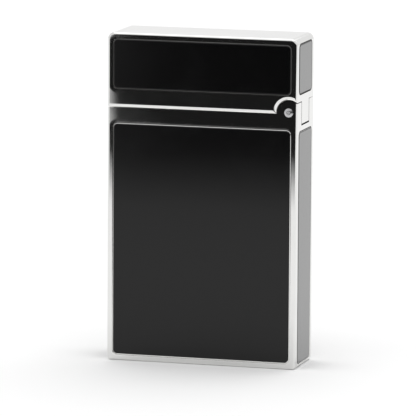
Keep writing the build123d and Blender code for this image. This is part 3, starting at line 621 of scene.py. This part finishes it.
class LIGHTER_OT_panels(bpy.types.Operator):
    """Finish the eight inlaid panels in black lacquer"""

    bl_idname = "lighter.panels"
    bl_label = "Lacquer panels"

    def execute(self, context):
        finish_nodes([name for name in PIECES if name.endswith("_panel")])
        return {"FINISHED"}


class LIGHTER_OT_roller(bpy.types.Operator):
    """Finish the thumb roller, its axle and the striker wheel"""

    bl_idname = "lighter.roller"
    bl_label = "Thumb roller"

    def execute(self, context):
        finish_nodes(["roller_axle", "roller_drum_front", "roller_drum_rear", "striker_wheel"])
        return {"FINISHED"}


class LIGHTER_OT_burner(bpy.types.Operator):
    """Finish the hood, the jet, the valve, the lever and the flame adjuster"""

    bl_idname = "lighter.burner"
    bl_label = "Burner and valve"

    def execute(self, context):
        finish_nodes(["burner_hood", "burner_jet", "jet_seal", "jet_spring", "valve_body", "valve_seal",
                      "flow_filter", "flame_adjuster", "valve_lever", "lever_pin", "lever_spring",
                      "snuffer_post", "snuffer_pad"])
        return {"FINISHED"}


class LIGHTER_OT_top_plate(bpy.types.Operator):
    """Finish the top plate, its screws and the cap spring"""

    bl_idname = "lighter.top_plate"
    bl_label = "Top plate and cap spring"

    def execute(self, context):
        finish_nodes(["chassis_plate", "chassis_screws", "cap_spring_housing", "cap_follower", "cap_spring"])
        return {"FINISHED"}


class LIGHTER_OT_flint_feed(bpy.types.Operator):
    """Finish the flint and everything that feeds it"""

    bl_idname = "lighter.flint_feed"
    bl_label = "Flint feed"

    def execute(self, context):
        finish_nodes(["flint_tube", "flint", "flint_pusher", "flint_spring", "flint_screw"])
        return {"FINISHED"}


class LIGHTER_OT_tank(bpy.types.Operator):
    """Finish the fuel tank and its filler"""

    bl_idname = "lighter.tank"
    bl_label = "Fuel tank"

    def execute(self, context):
        finish_nodes(["fuel_tank", "tank_cover", "filler_valve", "filler_seal", "filler_poppet",
                      "filler_spring", "filler_screw"])
        return {"FINISHED"}


# ---- Stage -----------------------------------------------------------------------------------------
def stage_sheet(name, low, high, offset, upright=False):
    """A flat studio sheet between two corners: level at a height, or upright at a distance in front."""
    mesh = bpy.data.meshes.new(name)
    bm = bmesh.new()
    bmesh.ops.create_grid(bm, x_segments=1, y_segments=1, size=0.5)
    bmesh.ops.scale(bm, vec=(high[0] - low[0], high[1] - low[1], 1), verts=bm.verts)
    across, along = (low[0] + high[0]) / 2, (low[1] + high[1]) / 2
    place = (across, along, offset)
    if upright:
        bmesh.ops.rotate(bm, matrix=Matrix.Rotation(pi / 2, 3, "X"), verts=bm.verts)
        place = (across, -offset, along)
    bmesh.ops.translate(bm, vec=place, verts=bm.verts)
    bm.to_mesh(mesh)
    bm.free()
    sheet = bpy.data.objects.new(name, mesh)
    bpy.context.scene.collection.objects.link(sheet)
    return sheet


def floor_sheet(stage):
    """The pale floor."""
    floor = stage_sheet("studio_floor", (-FLOOR_REACH, -FLOOR_REACH), (FLOOR_REACH, FLOOR_REACH), 0)
    material, tree, shader = blank_material("floor_paper")
    shader.inputs["Base Color"].default_value = (*stage.floor_colour, 1)
    shader.inputs["Roughness"].default_value = FLOOR_ROUGHNESS
    shader.inputs["Specular IOR Level"].default_value = 0.0
    floor.data.materials.append(material)
    return floor


def only_in_mirrors(card, masking):
    """Make a card dark, seen only in reflections, and clear where its mask is 0."""
    card.visible_camera = False
    card.visible_diffuse = False
    card.visible_shadow = False
    card.visible_transmission = False
    material = bpy.data.materials.new(card.name)
    material.use_nodes = True
    tree = material.node_tree
    tree.nodes.clear()
    coords = add_node(tree, "ShaderNodeTexCoord")
    place = add_node(tree, "ShaderNodeSeparateXYZ", inputs={"Vector": coords.outputs["Object"]})
    dark = add_node(tree, "ShaderNodeEmission", inputs={"Color": MIRROR_DARK, "Strength": 1.0})
    clear = add_node(tree, "ShaderNodeBsdfTransparent")
    mix = add_node(tree, "ShaderNodeMixShader", inputs={
        0: masking(tree, place), 1: clear.outputs["BSDF"], 2: dark.outputs["Emission"]})
    out = add_node(tree, "ShaderNodeOutputMaterial")
    tree.links.new(mix.outputs["Shader"], out.inputs["Surface"])
    card.data.materials.append(material)
    return card


def dark_zone(name, low, high, start, fade, slant, edge):
    """Unlit far floor that only mirrors see: clear near the lighter, and dark past start.
    Its left edge slants away from the lighter."""
    def masking(tree, place):
        depth = remap(tree, place.outputs["Y"], -start - fade, -start, 1, 0)
        across = maths(tree, "SUBTRACT", place.outputs["X"], maths(tree, "MULTIPLY", place.outputs["Y"], slant))
        return maths(tree, "MULTIPLY", depth, remap(tree, across, *edge, 0, 1))

    return only_in_mirrors(stage_sheet(name, low, high, MIRROR_CARD_RISE), masking)


def dark_wall(name, low, high, distance, fade):
    """Unlit opening beyond the dark floor, that only mirrors see, fading out at its top."""
    wall = stage_sheet(name, low, high, distance, upright=True)
    return only_in_mirrors(wall, lambda tree, place: remap(
        tree, place.outputs["Z"], high[1] - fade, high[1], 1, 0))


def soft_box(name, place, aim, size, radiance):
    """A rectangular soft light of a given brightness."""
    data = bpy.data.lights.new(name, "AREA")
    data.shape = "RECTANGLE"
    data.size, data.size_y = size
    data.energy = radiance * pi * size[0] * size[1]
    lamp = bpy.data.objects.new(name, data)
    bpy.context.scene.collection.objects.link(lamp)
    lamp.location = place
    lamp.rotation_euler = (Vector(aim) - Vector(place)).to_track_quat("-Z", "Y").to_euler()
    lamp.visible_camera = False
    return lamp


def studio_camera(stage):
    """A long lens, to the right of the front and a little above."""
    low, high = CAD_BOX
    middle = Vector((-AIM_LEFT, 0, low[2] + (high[2] - low[2]) * AIM_HEIGHT))
    turn, lift = stage.camera_azimuth, stage.camera_elevation
    back = Vector((sin(turn) * cos(lift), -cos(turn) * cos(lift), sin(lift)))
    right = Vector((0, 0, 1)).cross(back).normalized()
    up = back.cross(right)
    roll = stage.camera_roll
    level = right * cos(roll) + up * sin(roll)
    above = up * cos(roll) - right * sin(roll)
    data = bpy.data.cameras.new("studio_camera")
    data.sensor_width = SENSOR_WIDTH
    data.lens = stage.camera_lens
    data.clip_start, data.clip_end = CLIP_RANGE
    camera = bpy.data.objects.new("studio_camera", data)
    bpy.context.scene.collection.objects.link(camera)
    camera.matrix_world = Matrix.Translation(middle + back * stage.camera_distance) @ Matrix(
        (level, above, back)).transposed().to_4x4()
    bpy.context.scene.camera = camera


def white_surround(stage):
    """A white surround, brightest at eye level."""
    world = bpy.data.worlds.new("white_surround")
    world.use_nodes = True
    tree = world.node_tree
    shader = tree.nodes["Background"]
    shader.inputs["Color"].default_value = (1, 1, 1, 1)
    coords = add_node(tree, "ShaderNodeTexCoord")
    parts = add_node(tree, "ShaderNodeSeparateXYZ", inputs={"Vector": coords.outputs["Generated"]})
    level = remap(tree, parts.outputs["Z"], *SURROUND_BAND, stage.horizon_strength, stage.zenith_strength)
    tree.links.new(level, shader.inputs["Strength"])
    bpy.context.scene.world = world


class LIGHTER_OT_springs(bpy.types.Operator):
    """Replace the springs with merged, smooth-shaded copies"""

    bl_idname = "lighter.springs"
    bl_label = "Springs"

    def execute(self, context):
        for name, body, axis, pressed_end in SPRINGS:
            working_spring(name, axis, pressed_end)
        return {"FINISHED"}


class LIGHTER_OT_stage(bpy.types.Operator):
    """Make the pale floor, the soft light and the camera"""

    bl_idname = "lighter.stage"
    bl_label = "Studio"

    def execute(self, context):
        stage = context.scene.lighter_stage
        context.scene.view_settings.view_transform = "Standard"
        floor_sheet(stage)
        left = -stage.dark_left
        edge = [left + reach for reach in DARK_EDGE]
        dark_zone("dark_front", *DARK_FLOOR, stage.dark_start, stage.dark_fade, stage.dark_slant, edge)
        dark_wall("dark_opening", (left - stage.dark_slant * DARK_WALL_DISTANCE, 0),
                  (DARK_WALL_RIGHT, DARK_WALL_HEIGHT), DARK_WALL_DISTANCE, DARK_WALL_FADE)
        white_surround(stage)
        for box in SOFT_BOXES:
            soft_box(*box)
        studio_camera(stage)
        return {"FINISHED"}


class LIGHTER_PT_panel(bpy.types.Panel):
    """Buttons for each piece of the lighter"""

    bl_idname = "LIGHTER_PT_panel"
    bl_label = "Flip-top lighter"
    bl_space_type = "VIEW_3D"
    bl_region_type = "UI"
    bl_category = "Lighter"

    def draw(self, context):
        layout = self.layout
        for operator in OPERATORS:
            layout.operator(operator.bl_idname)
        for group, fields in ((context.scene.lighter_metal, ("chrome_colour", "chrome_roughness")),
                              (context.scene.lighter_lacquer, ("lacquer_colour", "coat_weight"))):
            for field in fields:
                layout.prop(group, field)


SETTINGS = {
    "lighter_metal": LighterMetalSettings,
    "lighter_lacquer": LighterLacquerSettings,
    "lighter_stage": LighterStageSettings,
}
OPERATORS = (LIGHTER_OT_frames, LIGHTER_OT_panels, LIGHTER_OT_roller, LIGHTER_OT_burner,
             LIGHTER_OT_top_plate, LIGHTER_OT_flint_feed, LIGHTER_OT_tank, LIGHTER_OT_springs,
             LIGHTER_OT_stage)


def register():
    """Register the settings, the operators and the panel."""
    for name, group in SETTINGS.items():
        bpy.utils.register_class(group)
        setattr(bpy.types.Scene, name, bpy.props.PointerProperty(type=group))
    for operator in OPERATORS:
        bpy.utils.register_class(operator)
    bpy.utils.register_class(LIGHTER_PT_panel)


def unregister():
    """Remove everything that register added."""
    bpy.utils.unregister_class(LIGHTER_PT_panel)
    for operator in reversed(OPERATORS):
        bpy.utils.unregister_class(operator)
    for name, group in SETTINGS.items():
        delattr(bpy.types.Scene, name)
        bpy.utils.unregister_class(group)


def main():
    """Finish every piece and set the stage."""
    register()
    bpy.ops.lighter.frames()
    bpy.ops.lighter.panels()
    bpy.ops.lighter.roller()
    bpy.ops.lighter.burner()
    bpy.ops.lighter.top_plate()
    bpy.ops.lighter.flint_feed()
    bpy.ops.lighter.tank()
    bpy.ops.lighter.springs()
    bpy.ops.lighter.stage()


if __name__ == "__main__":
    main()
